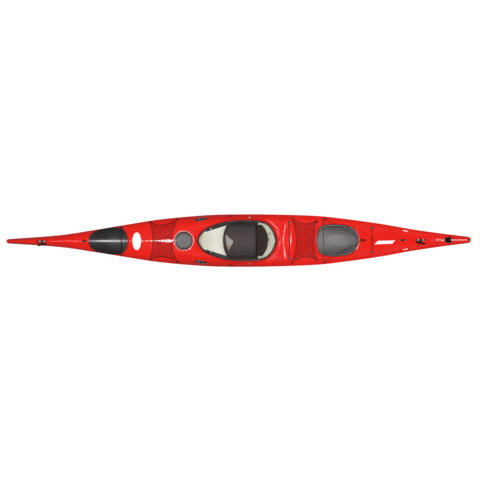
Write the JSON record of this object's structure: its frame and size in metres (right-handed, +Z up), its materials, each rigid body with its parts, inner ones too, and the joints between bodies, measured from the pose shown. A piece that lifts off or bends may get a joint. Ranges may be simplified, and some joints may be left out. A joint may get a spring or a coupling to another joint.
{
  "type": "sea kayak",
  "caption": "Long narrow decked touring kayak with an oval cockpit, padded seat, three lidded hatches, deck nets and end handles.",
  "frame": {"origin": "under the middle of the keel, at the overall middle of length and breadth, on the surface the keel rests on", "axes": "+X aft along the length, +Y to starboard, +Z up"},
  "size_m": [5.17, 0.5876, 0.393],
  "materials": {
    "red_gelcoat": "glossy red gelcoat over glass laminate, smooth, clear reflections",
    "hatch_rubber": "dark grey moulded rubber hatch cover, dull with a soft sheen",
    "day_cover_grey": "mid grey rubber cover with fine round and radial ribs",
    "grey_plastic": "grey moulded plastic fitting",
    "black_plastic": "black moulded plastic, satin",
    "cord_fabric": "black braided shock cord, netting and webbing",
    "pad_fabric": "dark grey woven cover over foam",
    "steel": "stainless steel bolt heads, washers and hinge rod",
    "laminate": "cream glass laminate, the weave just visible"
  },
  "bodies": {
    "kayak": {"hull_shell": "red_gelcoat", "deck_shell": "red_gelcoat", "seam_tape_starboard": "red_gelcoat", "seam_tape_port": "red_gelcoat", "cockpit_coaming": "black_plastic", "front_hatch_rim": "black_plastic", "front_strap_anchor_starboard": "black_plastic", "front_strap_anchor_port": "black_plastic", "front_tip_fitting": "grey_plastic", "rear_hatch_rim": "black_plastic", "rear_strap_anchor_starboard": "black_plastic", "rear_strap_anchor_port": "black_plastic", "rear_tip_fitting": "grey_plastic", "day_hatch_rim": "black_plastic", "day_hatch_pod": "black_plastic", "front_deck_net": "cord_fabric", "rear_deck_net": "cord_fabric", "fore_paddle_park": "cord_fabric", "aft_paddle_park": "cord_fabric", "bow_handle_bracket": "black_plastic", "stern_handle_bracket": "black_plastic", "side_slot_plate_starboard": "grey_plastic", "side_slot_plate_port": "grey_plastic", "sheer_fitting_starboard": "black_plastic", "sheer_fitting_port": "black_plastic", "seat_bolt_starboard": "steel", "seat_bolt_port": "steel", "aft_deck_fitting": "black_plastic", "line_exit_starboard": "red_gelcoat", "line_exit_port": "red_gelcoat", "rudder_park_block": "black_plastic", "stern_post": "black_plastic", "rudder_park_cord": "cord_fabric", "rudder_park_loop": "cord_fabric", "front_bulkhead": "laminate", "rear_bulkhead": "laminate", "thigh_brace_starboard": "black_plastic", "thigh_brace_port": "black_plastic", "seat_shell": "black_plastic", "seat_pad": "pad_fabric", "seat_hanger_starboard": "black_plastic", "seat_hanger_port": "black_plastic", "backrest_hinge_rod": "steel", "footrest_rail_starboard": "black_plastic", "footrest_rail_port": "black_plastic"},
    "front_hatch_lid": {"front_hatch_cover": "hatch_rubber", "front_hatch_strap": "cord_fabric"},
    "rear_hatch_lid": {"rear_hatch_cover": "hatch_rubber", "rear_hatch_cross_cord": "cord_fabric", "rear_hatch_cord_starboard": "cord_fabric", "rear_hatch_cord_port": "cord_fabric"},
    "day_hatch_lid": {"day_hatch_cover": "day_cover_grey"},
    "bow_handle": {"bow_handle_link": "cord_fabric", "bow_handle_grip": "black_plastic"},
    "stern_handle": {"stern_handle_link": "cord_fabric", "stern_handle_grip": "black_plastic"},
    "backrest": {"backrest_shell": "black_plastic", "backrest_pad": "pad_fabric"},
    "starboard_footrest": {"footrest_pedal_starboard": "black_plastic"},
    "port_footrest": {"footrest_pedal_port": "black_plastic"}
  },
  "joints": [
    {"name": "front_hatch_lift", "type": "slide", "parent": "kayak", "child": "front_hatch_lid", "axis": [0, 0, 1], "range_m": [0, 0.2]},
    {"name": "rear_hatch_lift", "type": "slide", "parent": "kayak", "child": "rear_hatch_lid", "axis": [0, 0, 1], "range_m": [0, 0.2]},
    {"name": "day_hatch_lift", "type": "slide", "parent": "kayak", "child": "day_hatch_lid", "axis": [0, 0, 1], "range_m": [0, 0.2]},
    {"name": "bow_handle_swing", "type": "hinge", "parent": "kayak", "child": "bow_handle", "pos_m": [-2.18591, 0, 0.3796], "axis": [-1, 0, 0], "range_deg": [0, 211]},
    {"name": "stern_handle_swing", "type": "hinge", "parent": "kayak", "child": "stern_handle", "pos_m": [2.01846, 0, 0.26846], "axis": [-1, 0, 0], "range_deg": [0, 180]},
    {"name": "backrest_tilt", "type": "hinge", "parent": "kayak", "child": "backrest", "pos_m": [0.202, 0, 0.072], "axis": [0, -1, 0], "range_deg": [-8, 65]},
    {"name": "starboard_footrest_slide", "type": "slide", "parent": "kayak", "child": "starboard_footrest", "axis": [0.9932, 0.1161, 0], "range_m": [-0.14, 0.14]},
    {"name": "port_footrest_slide", "type": "slide", "parent": "kayak", "child": "port_footrest", "axis": [0.9932, -0.1161, 0], "range_m": [-0.14, 0.14]}
  ]
}
